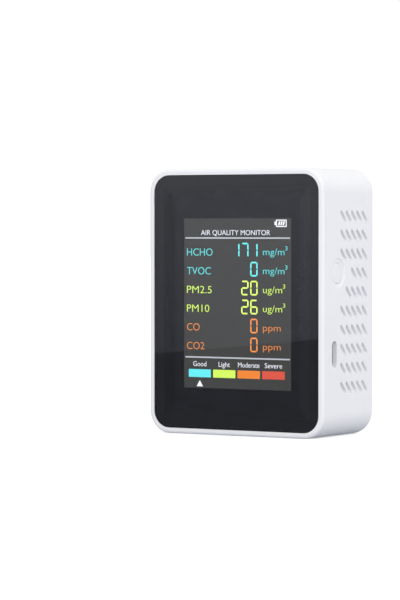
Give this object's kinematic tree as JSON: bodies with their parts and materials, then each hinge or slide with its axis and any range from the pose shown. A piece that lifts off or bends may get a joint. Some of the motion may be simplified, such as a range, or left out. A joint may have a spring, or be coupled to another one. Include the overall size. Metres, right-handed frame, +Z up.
{
  "type": "air quality monitor",
  "caption": "Palm-sized desk air quality monitor: white box with a glossy black front, colour display, slanted side vents, power button and USB-C port.",
  "frame": {"origin": "middle of the base, where the monitor stands on a table", "axes": "+Z up, the display faces -Y, +X is the right side as seen from the front, with the power button and the charging port"},
  "size_m": [0.07, 0.0356, 0.092],
  "materials": {
    "shell_white": "fine satin moulded texture",
    "button_white": "smooth satin",
    "panel_acrylic": "polished clear acrylic",
    "mask_black": "printed black film",
    "tape_black": "foam tape",
    "display_cell": "colour display cell",
    "backlight_white": "moulded frame",
    "flex_amber": "polyimide film",
    "connector_ivory": "moulded",
    "board_green": "solder resist",
    "chip_black": "moulded epoxy",
    "sensor_brass": "plated",
    "can_white": "moulded",
    "can_steel": "drawn can",
    "steel": "nickel plated",
    "moulded_black": "moulded",
    "plunger_red": "moulded",
    "battery_silver": "laminate pouch",
    "foam_grey": "closed-cell foam",
    "lead_red": "silicone wire",
    "lead_black": "silicone wire",
    "sensor_case_grey": "moulded"
  },
  "bodies": {
    "monitor": {"front_housing": "shell_white", "rear_cover": "shell_white", "front_panel": "panel_acrylic", "panel_print_film": "mask_black", "panel_adhesive": "tape_black", "lcd_glass": "display_cell", "lcd_backlight": "backlight_white", "lcd_flex": "flex_amber", "fpc_connector": "connector_ivory", "main_pcb": "board_green", "mcu_chip": "chip_black", "charger_chip": "chip_black", "battery_connector": "connector_ivory", "co2_sensor": "sensor_brass", "co_sensor": "can_white", "hcho_sensor": "can_steel", "voc_sensor": "can_steel", "buzzer": "chip_black", "usb_c_shell": "steel", "usb_c_tongue": "moulded_black", "tact_switch_body": "moulded_black", "battery_cell": "battery_silver", "battery_foam_pad": "foam_grey", "sensor_foam_pad": "foam_grey", "battery_foam_cushion": "foam_grey", "divider_foam": "foam_grey", "battery_lead_red": "lead_red", "battery_lead_black": "lead_black", "pm_sensor_case": "sensor_case_grey", "pm_sensor_cover": "sensor_case_grey", "pm_fan_frame": "moulded_black", "pm_laser_module": "sensor_brass", "cover_screws": "steel", "pcb_screws": "steel"},
    "button": {"power_button": "button_white"},
    "switch_plunger": {"tact_switch_plunger": "plunger_red"},
    "fan_rotor": {"pm_fan_rotor": "moulded_black"}
  },
  "joints": [
    {"name": "power_button_press", "type": "slide", "parent": "monitor", "child": "button", "axis": [-1, 0, 0], "range_m": [0, 0.00035], "stiffness_N_per_m": 800},
    {"name": "switch_plunger_press", "type": "slide", "parent": "monitor", "child": "switch_plunger", "axis": [-1, 0, 0], "range_m": [0, 0.00035], "stiffness_N_per_m": 200},
    {"name": "fan_spin", "type": "hinge", "parent": "monitor", "child": "fan_rotor", "pos_m": [0.0184, 0.00465, 0.074], "axis": [1, 0, 0], "continuous": true}
  ],
  "couplings": [
    {"joint": "switch_plunger_press", "follows": "power_button_press", "ratio": 1}
  ]
}
